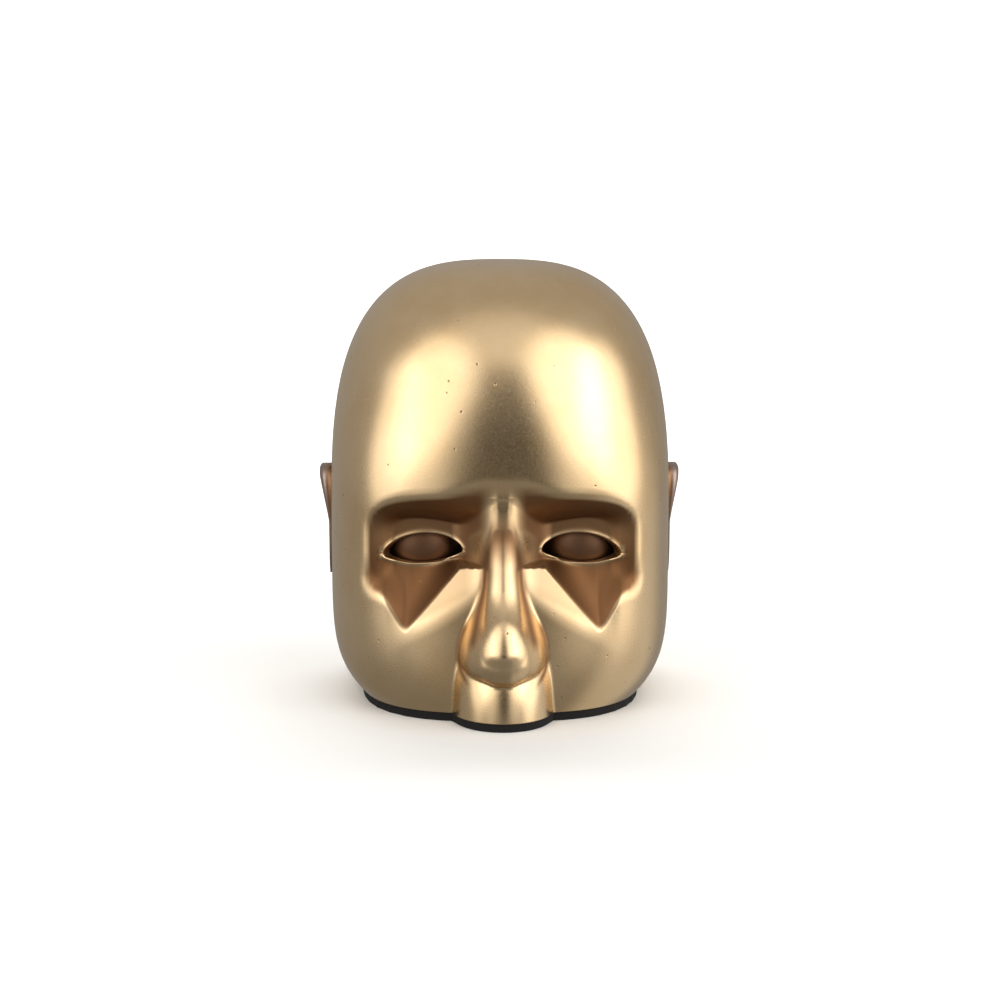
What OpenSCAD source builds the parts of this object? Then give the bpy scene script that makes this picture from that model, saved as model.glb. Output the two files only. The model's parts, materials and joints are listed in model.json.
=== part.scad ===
/* [Head] */
// Height of the whole piece, from the surface it stands on to the crown
head_h = 105; // [88:1:130]
// Width of the head across the cheeks
head_w = 82.6; // [68:0.2:100]
// Depth of the front half, from the seam to the brow
front_d = 47; // [39:0.5:57]
// Depth of the rear half, from the seam to the back of the skull
rear_d = 37; // [31:0.5:45]
// Distance of the ear seam behind the middle of the base
seam_y = 8; // [6:0.5:10]
// Height of the widest level
wide_z = 45; // [40:1:50]
// Squareness of the skull seen from above, where 2 is an ellipse
square_n = 2.8; // [2.2:0.1:3.6]
// Squareness of the skull seen from above, near the crown
round_n = 2.3; // [2:0.1:3]
// Squareness of the dome seen from the front
dome_n = 2.9; // [2.3:0.1:3.6]

/* [Casting] */
// Wall of the two shells
wall = 2.4; // [2:0.1:3]
// Wall left outside the base plate in its rebate
rebate_wall = 1.2; // [0.9:0.1:1.5]
// Width of the ledge that rests on the base plate
seat_w = 1.8; // [1.4:0.1:2.4]
// Height of the ledge
seat_h = 1.2; // [1:0.1:1.6]
// Thickness of the eyelids
lid_t = 1.4; // [1:0.1:1.8]
// Gap that the solder fills between two castings
solder_gap = 0.2; // [0.2:0.05:0.4]

/* [Eyes] */
// Distance of each eye from the middle of the face
eye_x = 18.7; // [17:0.1:20]
// Height of the eyes
eye_z = 39.6; // [38:0.1:41]
// Radius of the rounded lids
lid_r = 13.5; // [12:0.1:17]
// Distance of the front of the lids behind the brow
eye_inset = 11.2; // [10.8:0.1:12]
// Rise of the upper lid above the corners
lid_up = 3.9; // [3:0.1:4.6]
// Drop of the lower lid under the corners
lid_down = 2.5; // [1.5:0.1:3]
// Thickness of the eye cups
eye_t = 1.5; // [1:0.1:2]
// Half of the angle that each eye cup spans
eye_span = 64; // [60:1:70]
// How far an eye cup reaches past the corners of its opening
eye_cover = 1.4; // [1:0.1:2.5]
// Gap between an eye cup and its lids
eye_gap = 0.15; // [0.1:0.05:0.4]

/* [Sockets] */
// Height of the brow line at the middle of the face
brow_z = 53.2; // [50:0.1:56]
// Height at which the sockets' sides become upright
brow_side_z = 40; // [37:0.1:42]
// Half of the width across both sockets
socket_x = 31.8; // [31:0.1:33]
// Depth of the sockets' flat floor behind the brow
socket_d = 11.5; // [10:0.1:12.5]
// Depth of the nose root behind the brow
root_d = 0.7; // [0.3:0.1:2]
// Rounding of the brow's edge over the eyes
brow_round = 1; // [0.6:0.1:2]
// Height of the foot of the shelf under each eye
bag_z = 27.5; // [26:0.1:29]
// Distance from the middle to the lower end of the fold beside the nose
fold_x = 22.5; // [21:0.1:24]
// Height of the lower end of the fold
fold_z = 21; // [19:0.1:23]

/* [Nose and lip] */
// Height of the nose root
root_z = 50; // [48:0.1:51]
// Height of the middle of the nose tip
tip_z = 16; // [15:0.1:18]
// How far the nose tip stands out from the brow
tip_f = 12.9; // [10:0.1:15]
// Half-width of the nose tip
tip_r = 6.3; // [5.5:0.1:7]
// Half of the width across the nostril wings
wing_x = 9.4; // [8.6:0.1:12]
// Half-width of the upper lip
lip_r = 11.9; // [10.5:0.1:13.5]
// How far the upper lip stands out from the brow
lip_f = 9.5; // [8:0.1:11]

/* [Ears] */
// Height of the middle of each ear
ear_z = 41; // [39:0.1:43]
// Half of each ear's height
ear_h = 13.6; // [12:0.1:15]
// Half of each ear's width
ear_w = 7.6; // [6:0.1:9]
// How far the ears stand out from the head
ear_out = 3.6; // [2.4:0.1:4.5]
// How far the lobes stand out from the head
lobe_out = 0.7; // [0.5:0.1:1.5]

/* [Base] */
// Thickness of the pad under the base
pad_t = 2; // [1:0.1:3]
// Distance of the pad's edge inside the shell's edge
pad_inset = 0.3; // [0:0.1:1.5]
// Thickness of the base plate
plate_t = 3; // [2.4:0.1:4]
// Gap around the base plate
plate_gap = 0.3; // [0.2:0.05:0.6]

/* [Seam frame] */
// Width of the strip behind the seam
frame_w = 12; // [10:0.5:14]
// Thickness of the strip
frame_t = 2; // [1.5:0.1:2.5]
// Length of the frame's feet
foot_l = 13; // [11:0.5:14]
// Thickness of the feet
foot_t = 4; // [3:0.1:5]

/* [Ballast] */
// Gap between the iron weight and each foot
ballast_gap = 1; // [0.5:0.1:3]
// Length of the iron weight
ballast_l = 46; // [36:1:52]
// Height of the iron weight
ballast_h = 14; // [10:1:20]
// Distance between the weight's two screws
ballast_pitch = 26; // [20:1:30]

/* [Screws] */
// Diameter of the screws
screw_d = 3; // [2.5:0.1:3.5]
// Diameter of the screw heads
screw_head_d = 5.6; // [5:0.1:6.4]
// Length of a screw above the base plate
screw_reach = 3.4; // [2.5:0.1:3.8]
// Gap around a screw in the hole that it passes
screw_gap = 0.2; // [0.1:0.05:0.4]
// Gap around a screw in its tapped hole
tap_gap = 0.05; // [0.05:0.01:0.1]

/* [Hidden] */
$fn = 64;

half_w = head_w / 2;
face_f = front_d - seam_y;
floor_f = face_f - socket_d;
shell_z = pad_t;
ledge_z = pad_t + plate_t;
shelf_z = eye_z - 2.8;
lip_back = 6;
lip_centre_f = face_f - lip_back;
lip_base_z = 1;
lip_top_z = 24;
nose_base_z = 10.3;
wing_top_z = tip_z + 5;
eye_centre_f = face_f - eye_inset - lid_r;
eye_r = lid_r - lid_t - eye_gap;
eye_rim_r = eye_r * sin(eye_span);
eye_len = 2 * (eye_rim_r - eye_cover);
eye_in_x = eye_x - eye_len / 2;
eye_out_x = eye_x + eye_len / 2;
width_taper = 0.233;
front_taper = 0.05;
rear_taper = 0.2;
taper_n = 6.6;
crown_flat = 0.08;
solder_film = 0.05;

// Slopes of the brow's underside and of the cheek beside the nose
brow_rise = 1.05;
cheek_fall = 0.42;
cheek_tilt = 0.24;
// Width over which the shelf's foot rises from the fold to the level under the eye
bag_turn = 6.5;
// How steeply the form of the lids drops once it is outside them
lid_skirt = 12;
// Half-width, height and start of the nose ridge, how much the first two grow towards the tip, how
// far it stays behind the tip, and its slopes under the tip and over the root
ridge_r = 2.6;
ridge_flare = 3.1;
ridge_h = 3.4;
ridge_swell = 3;
ridge_drop = 3.5;
ridge_back = 0.7;
ridge_under = 3;
ridge_over = 1.2;
// Height of the nose tip's bulb, and its reach under and over the middle of the tip
tip_h = 6.6;
tip_under = 6;
tip_over = 11;
// Half-width, height and start of a nostril wing, and its reach under and over the middle of the tip
wing_r = 4.2;
wing_h = 6;
wing_f = 1.5;
wing_under = 5;
wing_over = 7.5;
// Fillets where the forms of the face meet
lid_fillet = 1;
ridge_fillet = 0.8;
root_fillet = 3.7;
lip_fillet = 2;
wing_fillet = 7;
bulb_fillet = 0.5;
tip_fillet = 5;
tip_fillet_x = 7;

// Number of cells between the key lines of the face grid
nose_cols = 9;
lid_cols = 11;
side_cols = 7;
rear_cols = 28;
nose_rows = 7;
cheek_rows = 7;
brow_rows = 6;
dome_rows = 14;
rear_rows = 8;

// ---- Rules that every surface follows ----

// Smooth step from 0 to 1
function ramp(t) = let(u = min(max(t, 0), 1)) u * u * (3 - 2 * u);

// The larger of two heights, with a fillet of size k where they meet
function blend(a, b, k) = max(a, b) + pow(max(k - abs(a - b), 0), 2) / (4 * k);

// Height of a unit ball at distance u from its middle, falling steeply outside it
function ball(u) = u < 0.94 ? sqrt(1 - u * u) : 0.3412 - 2.755 * (u - 0.94);

// Share of the full dome left at height z, for a surface that lies off inside the outer one
function dome(z, off) =
    let(t = max(z - wide_z, 0) / (head_h - wide_z - off))
    pow(max(1 - pow(t, dome_n), 0), 1 / dome_n);

function low(z) = pow(max(wide_z - z, 0) / wide_z, taper_n);

function flat(z) = 1 - crown_flat * pow(max(z - wide_z, 0) / (head_h - wide_z), 2);

// Half-width and depths of the head at height z
function width_at(z, off) = (half_w * (1 - width_taper * low(z)) - off) * dome(z, off);
function front_at(z, off) = (front_d * (1 - front_taper * low(z)) - off) * dome(z, off) * flat(z);
function rear_at(z, off) = (rear_d * (1 - rear_taper * low(z)) - off) * dome(z, off) * flat(z);

// Squareness of the outline at height z, less towards the crown
function squareness(z) = square_n + (round_n - square_n) * ramp((z - wide_z - 5) / 30);

// Unit outline of the skull at angle a and height z, where angle 0 faces forward
function round_of(a, n) = pow(pow(abs(sin(a)), n) + pow(abs(cos(a)), n), 1 / n);
function side_of(a, z) = sin(a) / round_of(a, squareness(z));
function ahead_of(a, z) = cos(a) / round_of(a, squareness(z));

// Angle at which the unit outline of the lower head is u from the middle
function angle_of(u) = let(v = pow(abs(u), square_n)) sign(u) * atan(pow(v / max(1 - v, 1e-9), 1 / square_n));

// ---- Face ----

// Distance inside the outline of the sockets, which runs up their sides and turns level at the brow
function inside_brow(x, z) =
    let(
        tall = brow_z - brow_side_z,
        u = x / socket_x,
        v = max(z - brow_side_z, 0) / tall,
        r = max(pow(pow(u, 4) + pow(v, 4), 0.25), 0.01),
        slope = norm([pow(u, 3) / socket_x, pow(v, 3) / tall]) / pow(r, 3)
    ) (1 - r) / max(slope, 0.01);

// Height where the shelf under each eye starts: level under the eye, and along a diagonal fold
// beside the nose
function shelf_foot(x) = x < fold_x
    ? min(fold_z + (shelf_z - fold_z) * (fold_x - x) / (fold_x - eye_in_x), shelf_z - 0.5)
    : bag_z - (bag_z - fold_z) * ramp((fold_x + bag_turn - x) / bag_turn);

// How far the skin slopes back beside the nose
function cheek_at(x, z) =
    blend(cheek_fall * (min(z, shelf_z) - fold_z) + cheek_tilt * (x - fold_x), 0, 1.5)
        * (1 - ramp((x - 18) / 10)) * ramp(inside_brow(x, z) / 4) * (1 - ramp((z - eye_z - 2) / 8));

// The face sunk into the sockets: a slope down from the brow, a shelf under the eye and a flat floor
function sunk_at(x, z, f, off) =
    let(
        cheek = cheek_at(x, z),
        soft = brow_round + 4 * (1 - ramp((x - 4) / 12)) + 2 * ramp((brow_side_z - 1 - z) / 8),
        cut = blend(inside_brow(x, z) * brow_rise + off, 0, soft + off),
        root = f - root_d,
        floor = root + (floor_f - off - root) * ramp((x - 1) / 11),
        foot = shelf_foot(x),
        t = min(max((z - foot + 0.6 * off) / (shelf_z - foot), 0), 1),
        shelf = max(f - cheek - floor, 0) * (t + (ramp(t) - t) * ramp((x - fold_x + 1) / 4))
    ) f - cheek + blend(-shelf, -cut, max(min(cut, 1.5), 0.05));

function lids_at(x, z, off) =
    let(r = lid_r - min(off, lid_t), u = norm([x - eye_x, z - eye_z]) / r)
    eye_centre_f + r * (ball(u) - lid_skirt * max(u - 1, 0));

function ridge_at(x, z, off) =
    let(
        t = min(max((root_z - z) / (root_z - tip_z), 0), 1),
        r = ridge_r + ridge_flare * t - off / 2,
        h = ridge_h + ridge_swell * t - off / 2,
        f = face_f - root_d - ridge_drop + (tip_f + root_d + ridge_drop - ridge_back) * t - off / 2
    ) f - h + h * ball(x / r) - ridge_under * max(tip_z - z, 0) - ridge_over * max(z - root_z, 0);

function tip_at(x, z, off) =
    let(r = tip_r - off, tall = (z > tip_z ? tip_over : tip_under) - off)
    face_f + tip_f - tip_h + (tip_h - off) * ball(norm([x / r, (z - tip_z) / tall]));

function wing_at(x, z, off) =
    let(r = wing_r - off, tall = (z > tip_z ? wing_over : wing_under) - off)
    face_f + wing_f + (wing_h - off) * ball(norm([(x - wing_x + wing_r) / r, (z - tip_z) / tall]));

function lip_at(x, z, off) =
    let(rise = max(z - lip_base_z, 0) / (lip_top_z - lip_base_z - off))
    lip_centre_f + (lip_f + lip_back - off) * (ball(x / (lip_r - off)) - pow(rise, 3));

// How far the face stands in front of the middle of the base, where the plain skull stands f
function face_at(x, z, f, off) =
    let(
        ax = abs(x),
        skin = blend(sunk_at(ax, z, f, off), lids_at(ax, z, off), lid_fillet),
        bridge = blend(skin, ridge_at(ax, z, off), ridge_fillet + root_fillet * ramp((z - 30) / 12)),
        mouth = blend(bridge, lip_at(ax, z, off), lip_fillet),
        bulb = blend(tip_at(ax, z, off), wing_at(ax, z, off), wing_fillet),
        soft = bulb_fillet + tip_fillet * exp(-pow(ax / tip_fillet_x, 4)) * ramp((z - tip_z + 1) / 4)
    ) blend(mouth, bulb, soft);

// ---- Lines that the face grid follows ----

function lid_hump(x) = let(s = min(max((abs(x) - eye_in_x) / eye_len, 0), 1)) pow(4 * s * (1 - s), 0.75);
function lid_axis(x) = eye_z - 0.1 - min(max((abs(x) - eye_in_x) / eye_len, 0), 1);
function lid_blunt(x) = 0.4 + 0.22 * max(eye_in_x - abs(x), abs(x) - eye_out_x, 0);
function upper_lid(x) = lid_axis(x) + lid_blunt(x) + lid_up * lid_hump(x);
function lower_lid(x) = lid_axis(x) - lid_blunt(x) - lid_down * lid_hump(x);
function brow_line(x) = brow_side_z
    + (brow_z - brow_side_z) * pow(1 - pow(min(abs(x), 29) / socket_x, 4), 0.25);

// Evenly spaced steps from a up to but not including b
function steps(a, b, n) = [for (i = [0:n - 1]) a + (b - a) * i / n];

// Heights from a along the dome to the crown, without a
function dome_steps(a, n) =
    let(
        v = pow(max(a - wide_z, 0) / (head_h - wide_z), dome_n),
        first = atan(pow(v / (1 - v), 1 / dome_n))
    ) [for (i = [1:n])
        let(b = first + (90 - first) * i / n)
        i == n ? head_h
            : wide_z + (head_h - wide_z) * sin(b) / round_of(b, dome_n)];

// Heights of the rows at the foot of both shells, close together where the cheeks turn under
foot_heights = [for (t = [0, 0.12, 0.29, 0.48, 0.75]) shell_z + (nose_base_z - shell_z) * t];

// Heights of the grid's rows in a column that is x from the middle
function face_rows(x) = concat(
    foot_heights,
    steps(nose_base_z, wing_top_z, nose_rows),
    steps(wing_top_z, lower_lid(x), cheek_rows),
    steps(lower_lid(x), upper_lid(x), 2),
    [for (t = steps(0, 1, brow_rows)) upper_lid(x) + (brow_line(x) - upper_lid(x)) * (1 - pow(1 - t, 1.8))],
    [brow_line(x)],
    dome_steps(brow_line(x), dome_rows));

rear_heights = concat(foot_heights, steps(nose_base_z, wide_z, rear_rows),
    [wide_z], dome_steps(wide_z, dome_rows));

// Angles of the grid's columns across the face
half_angles = concat(
    [for (x = steps(0, eye_in_x, nose_cols)) angle_of(x / half_w)],
    [for (x = steps(eye_in_x, eye_out_x, lid_cols)) angle_of(x / half_w)],
    steps(angle_of(eye_out_x / half_w), 90, side_cols),
    [90]);
half_n = len(half_angles) - 1;
face_angles = concat([for (i = [half_n:-1:1]) -half_angles[i]], half_angles);
rear_angles = [for (i = [0:rear_cols]) 90 + 180 * i / rear_cols];

// ---- Inner surface ----
// Rows 0 and 1 are the rebate of the base plate, rows 2 and 3 the ledge on the plate, and the
// rest the wall. extra moves the surface further in, for what lies against it.

function inner_off(j, extra) = extra + (j < 2 ? rebate_wall : j < 4 ? rebate_wall + seat_w : wall);

function inner_z(z, j, extra) =
    j == 0 ? shell_z
    : j < 3 ? ledge_z
    : j == 3 ? ledge_z + seat_h
    : z > wide_z ? wide_z + (z - wide_z) * (head_h - wide_z - wall - extra) / (head_h - wide_z)
    : z;

// The rebate and the ledge are upright, so they take their outline from the foot of the shell
function shape_z(z, j) = j < 4 ? shell_z : z;

function face_out(a, z, off) =
    face_at(width_at(z, off) * side_of(a, z), z, front_at(z, off) * ahead_of(a, z) - seam_y, off);

function face_point(a, j, inside) =
    let(
        z0 = face_rows(half_w * side_of(a, 0))[j],
        z = inside ? inner_z(z0, j, 0) : z0,
        s = inside ? shape_z(z, j) : z,
        off = inside ? inner_off(j, 0) : 0
    ) [width_at(s, off) * side_of(a, s), -face_out(a, s, off), z];

function rear_point(a, j, inside) =
    let(
        z = inside ? inner_z(rear_heights[j], j, 0) : rear_heights[j],
        s = inside ? shape_z(z, j) : z,
        off = inside ? inner_off(j, 0) : 0
    ) [width_at(s, off) * side_of(a, s), seam_y - rear_at(s, off) * ahead_of(a, s), z];

// Outline of the footprint at height z, off inside the outer surface
function footprint(z, off) = concat(
    [for (a = face_angles) [width_at(z, off) * side_of(a, z), -face_out(a, z, off)]],
    [for (i = [1:rear_cols - 1])
        let(a = rear_angles[i])
        [width_at(z, off) * side_of(a, z), seam_y - rear_at(z, off) * ahead_of(a, z)]]);

// ---- Shells ----

// Closed wall between an outer and an inner grid of c columns and r rows that meet at a crown.
// skip tells which cells are an opening. Cells left of the column turn are split the other way.
module shell(outer, inner, c, r, turn, skip) {
    n = c * r + 1;
    function at(i, j) = j == r ? c * r : i * r + j;
    function open(i, j) = i < 0 || i >= c - 1 || j < 0 || skip[i][j];
    function rim(i, j, k, l) = [[at(i, j), at(k, l), at(k, l) + n], [at(i, j), at(k, l) + n, at(i, j) + n]];
    function cell(i, j) =
        j == r - 1 ? [[at(i, j), at(i, j + 1), at(i + 1, j)]]
        : i < turn ? [[at(i, j), at(i, j + 1), at(i + 1, j + 1)], [at(i, j), at(i + 1, j + 1), at(i + 1, j)]]
        : [[at(i, j), at(i, j + 1), at(i + 1, j)], [at(i + 1, j), at(i, j + 1), at(i + 1, j + 1)]];
    faces = [for (i = [0:c - 2]) for (j = [0:r - 1]) if (!skip[i][j]) each concat(
        cell(i, j),
        [for (f = cell(i, j)) [n + f[0], n + f[2], n + f[1]]],
        open(i - 1, j) ? rim(i, j + 1, i, j) : [],
        open(i + 1, j) ? rim(i + 1, j, i + 1, j + 1) : [],
        open(i, j - 1) ? rim(i, j, i + 1, j) : [],
        j < r - 1 && open(i, j + 1) ? rim(i + 1, j + 1, i, j + 1) : [])];
    polyhedron(points = concat(outer, inner), faces = faces);
}

module face_shell() {
    c = len(face_angles);
    r = len(face_rows(0)) - 1;
    lid_row = len(foot_heights) + nose_rows + cheek_rows;
    function grid(inside) = concat(
        [for (a = face_angles) for (j = [0:r - 1]) face_point(a, j, inside)],
        [[0, seam_y, head_h - (inside ? wall : 0)]]);
    function is_lid(i) = let(k = i < half_n ? half_n - 1 - i : i - half_n)
        k >= nose_cols && k < nose_cols + lid_cols;
    skip = [for (i = [0:c - 2]) [for (j = [0:r - 1]) is_lid(i) && j >= lid_row && j < lid_row + 2]];
    color("#c9a063")
        shell(grid(false), grid(true), c, r, half_n, skip);
}

module rear_shell() {
    c = len(rear_angles);
    r = len(rear_heights) - 1;
    function grid(inside) = concat(
        [for (a = rear_angles) for (j = [0:r - 1]) rear_point(a, j, inside)],
        [[0, seam_y, head_h - (inside ? wall : 0)]]);
    skip = [for (i = [0:c - 2]) [for (j = [0:r - 1]) false]];
    color("#c2985c")
        shell(grid(false), grid(true), c, r, rear_cols / 2, skip);
}

// ---- Ears ----

ear_rings = [0.3, 0.52, 0.68, 0.8, 0.9, 0.97, 1];
ear_sides = 28;
ear_square = 3.2;
ear_taper = 0.18;
ear_y = seam_y + 2;

// Side of the head at depth y and height z
function side_x(y, z) =
    let(d = y < seam_y ? front_at(z, 0) : rear_at(z, 0), n = squareness(z))
    width_at(z, 0) * pow(1 - pow(abs(y - seam_y) / d, n), 1 / n);

// Outline of an ear at angle t, squared at the top and narrow at the lobe
function ear_edge(t) =
    let(s = sin(t), c = cos(t), r = round_of(t, ear_square))
    [ear_w * (1 - ear_taper + ear_taper * s) * c / r, ear_h * s / r];

// Height of the ear's relief at ring q and angle t: a rolled rim around a hollow
function ear_relief(q, t) =
    let(
        up = max(ear_edge(t)[1] / ear_h, 0),
        rim = lobe_out + (ear_out - lobe_out) * up * (0.85 + 0.15 * cos(t)),
        roll = q < 0.9 ? ramp((q - 0.45) / 0.35) : 1 - 25 * pow(q - 0.9, 2)
    ) lobe_out * 0.7 + (rim - lobe_out * 0.7) * roll;

module ear(side) {
    q_n = len(ear_rings);
    function place(q, t, h) =
        let(e = ear_edge(t) * q, y = ear_y + e[0], z = ear_z + e[1])
        [side * (side_x(y, z) + solder_film + h), y, z];
    top = [for (q = ear_rings) for (i = [0:ear_sides - 1])
        let(t = 360 * i / ear_sides) place(q, t, ear_relief(q, t))];
    under = [for (q = ear_rings) for (i = [0:ear_sides - 1]) place(q, 360 * i / ear_sides, 0)];
    n = len(top);
    top_mid = 2 * n;
    function at(q, i) = q * ear_sides + i % ear_sides;
    function turn(f) = side > 0 ? f : [f[0], f[2], f[1]];
    faces = concat(
        [for (q = [0:q_n - 2]) for (i = [0:ear_sides - 1]) each [
            turn([at(q, i), at(q, i + 1), at(q + 1, i)]),
            turn([at(q + 1, i), at(q, i + 1), at(q + 1, i + 1)]),
            turn([n + at(q, i), n + at(q + 1, i), n + at(q, i + 1)]),
            turn([n + at(q + 1, i), n + at(q + 1, i + 1), n + at(q, i + 1)])]],
        [for (i = [0:ear_sides - 1]) each [
            turn([at(0, i), top_mid, at(0, i + 1)]),
            turn([n + at(0, i), n + at(0, i + 1), top_mid + 1]),
            turn([at(q_n - 1, i), at(q_n - 1, i + 1), n + at(q_n - 1, i)]),
            turn([n + at(q_n - 1, i), at(q_n - 1, i + 1), n + at(q_n - 1, i + 1)])]]);
    middle = [place(0, 0, ear_relief(0, 0)), place(0, 0, 0)];
    color("#b98a5c")
        polyhedron(points = concat(top, under, middle), faces = faces);
}

module left_ear() ear(-1);

module right_ear() ear(1);

// ---- Eyes ----

// Cup with a polished dome that fills one eye opening from inside
module eye(side) {
    rim_deep = eye_r - sqrt(eye_r * eye_r - eye_rim_r * eye_rim_r);
    color("#5a3a22")
        translate([side * eye_x, -eye_centre_f, eye_z])
            rotate([90, 0, 0])
                difference() {
                    sphere(r = eye_r);
                    sphere(r = eye_r - eye_t);
                    translate([0, 0, -rim_deep])
                        cube([4 * eye_r, 4 * eye_r, 2 * eye_r], center = true);
                }
}

module left_eye() eye(-1);

module right_eye() eye(1);

// ---- Frame, weight and base ----

// Half-width of the shells' inside at the strip's two edges, extra further in
function strip_x(z, off) =
    let(
        d = min(front_at(z, off), rear_at(z, off)),
        n = squareness(z)
    ) d > frame_w / 2 ? width_at(z, off) * pow(1 - pow(frame_w / 2 / d, n), 1 / n) : 0;

// Right-hand edge of what lies against the inside of the seam, from the base plate to the crown
function arch(extra) = [for (j = [2:len(rear_heights) - 2])
    let(
        z = inner_z(rear_heights[j], j, extra),
        x = strip_x(shape_z(z, j), inner_off(j, extra))
    ) if (x > 0) [x, z]];

frame_edge = arch(solder_gap);
foot_x = frame_edge[0][0] - foot_l;
foot_top = ledge_z + foot_t;
frame_screw_x = foot_x + foot_l / 2;
ballast_w = 2 * (foot_x - ballast_gap);
ballast_y = 4;
ballast_corner = 6;
ballast_edge = 1;

// Points in the other order, and points mirrored to the left side in the other order
function turned(p) = [for (i = [len(p) - 1:-1:0]) p[i]];
function mirrored(p) = [for (q = turned(p)) [-q[0], q[1]]];

// Strip that lies behind the seam, from one foot over the crown to the other
module seam_frame() {
    inner = [for (p = arch(solder_gap + frame_t)) if (p[1] > foot_top) p];
    over = concat([[foot_x, ledge_z]], frame_edge);
    under = concat([[foot_x, foot_top], [inner[0][0], foot_top]], inner);
    outline = concat(over, mirrored(over), turned(mirrored(under)), turned(under));
    color("#a8814e")
        difference() {
            translate([0, seam_y + frame_w / 2, 0])
                rotate([90, 0, 0])
                    linear_extrude(frame_w)
                        polygon(outline);
            frame_screw_places()
                translate([0, 0, ledge_z - 1])
                    cylinder(d = screw_d + 2 * tap_gap, h = foot_t + 2);
        }
}

module frame_screw_places()
    for (side = [-1, 1])
        translate([side * frame_screw_x, seam_y, 0])
            children();

module ballast_screw_places()
    for (side = [-1, 1])
        translate([0, side * ballast_pitch / 2 + ballast_y, 0])
            children();

module ballast() {
    color("#4b4a48")
        difference() {
            translate([0, ballast_y, ledge_z])
                union() {
                    round_block(ballast_w, ballast_l, ballast_h - ballast_edge, ballast_corner);
                    translate([0, 0, ballast_h - ballast_edge])
                        round_block(
                            ballast_w - 2 * ballast_edge,
                            ballast_l - 2 * ballast_edge,
                            ballast_edge,
                            ballast_corner - ballast_edge);
                }
            ballast_screw_places()
                translate([0, 0, ledge_z - 1])
                    cylinder(d = screw_d + 2 * tap_gap, h = screw_reach + 2);
        }
}

// Block with rounded upright edges, standing on z = 0
module round_block(w, l, h, r) {
    linear_extrude(h)
        union() {
            square([w - 2 * r, l], center = true);
            square([w, l - 2 * r], center = true);
            for (x = [-1, 1])
                for (y = [-1, 1])
                    translate([x * (w / 2 - r), y * (l / 2 - r)])
                        circle(r);
        }
}

// Countersunk screw whose head is flush with the underside of the base plate
module screw() {
    cone_h = (screw_head_d - screw_d) / 2;
    difference() {
        union() {
            cylinder(d1 = screw_head_d, d2 = screw_d, h = cone_h);
            cylinder(d = screw_d, h = plate_t + screw_reach);
        }
        for (a = [0, 90])
            rotate([0, 0, a])
                cube([screw_d, screw_d / 4, cone_h], center = true);
    }
}

// Countersunk hole through the base plate, from its underside at z = 0
module screw_hole() {
    cone_h = (screw_head_d - screw_d) / 2;
    cylinder(d = screw_d + 2 * screw_gap, h = plate_t + 1);
    translate([0, 0, -1])
        cylinder(d1 = screw_head_d + 2 * screw_gap + 2, d2 = screw_d + 2 * screw_gap, h = cone_h + 1);
}

module base_plate() {
    color("#2b2724")
        difference() {
            translate([0, 0, shell_z])
                linear_extrude(plate_t)
                    polygon(footprint(shell_z, rebate_wall + plate_gap));
            frame_screw_places()
                translate([0, 0, shell_z])
                    screw_hole();
            ballast_screw_places()
                translate([0, 0, shell_z])
                    screw_hole();
        }
}

module frame_screws() {
    color("#8f8f90")
        frame_screw_places()
            translate([0, 0, shell_z])
                screw();
}

module ballast_screws() {
    color("#8f8f90")
        ballast_screw_places()
            translate([0, 0, shell_z])
                screw();
}

module base_pad() {
    color("#141414")
        linear_extrude(pad_t)
            polygon(footprint(shell_z, pad_inset));
}

face_shell();
rear_shell();
left_ear();
right_ear();
left_eye();
right_eye();
seam_frame();
ballast();
base_plate();
frame_screws();
ballast_screws();
base_pad();
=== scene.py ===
import json
import math

import bpy
import numpy as np
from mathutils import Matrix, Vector


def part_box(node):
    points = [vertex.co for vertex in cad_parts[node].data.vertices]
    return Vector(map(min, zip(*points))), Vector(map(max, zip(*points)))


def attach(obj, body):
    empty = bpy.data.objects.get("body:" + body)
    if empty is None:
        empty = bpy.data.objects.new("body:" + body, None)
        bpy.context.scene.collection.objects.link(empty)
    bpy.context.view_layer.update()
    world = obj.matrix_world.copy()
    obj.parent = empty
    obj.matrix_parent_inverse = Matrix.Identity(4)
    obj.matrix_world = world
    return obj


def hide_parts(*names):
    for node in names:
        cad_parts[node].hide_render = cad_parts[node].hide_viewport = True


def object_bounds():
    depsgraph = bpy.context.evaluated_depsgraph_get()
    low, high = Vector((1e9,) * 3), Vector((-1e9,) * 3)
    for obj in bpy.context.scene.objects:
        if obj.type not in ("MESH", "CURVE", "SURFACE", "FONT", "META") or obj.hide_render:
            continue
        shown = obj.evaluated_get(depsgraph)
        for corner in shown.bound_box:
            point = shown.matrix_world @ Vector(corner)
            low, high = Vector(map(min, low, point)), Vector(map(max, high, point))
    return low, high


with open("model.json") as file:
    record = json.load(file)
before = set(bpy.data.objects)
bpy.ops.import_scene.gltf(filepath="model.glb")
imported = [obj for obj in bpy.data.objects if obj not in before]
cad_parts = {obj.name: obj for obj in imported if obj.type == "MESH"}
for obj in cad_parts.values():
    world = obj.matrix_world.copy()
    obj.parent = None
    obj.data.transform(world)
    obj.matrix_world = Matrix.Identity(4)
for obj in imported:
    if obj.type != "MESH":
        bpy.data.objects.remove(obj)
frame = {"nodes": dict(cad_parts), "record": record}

MM = 0.001
CAD_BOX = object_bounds()

# ---- Sizes, in millimetres, from the frame where it has them ----

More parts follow.
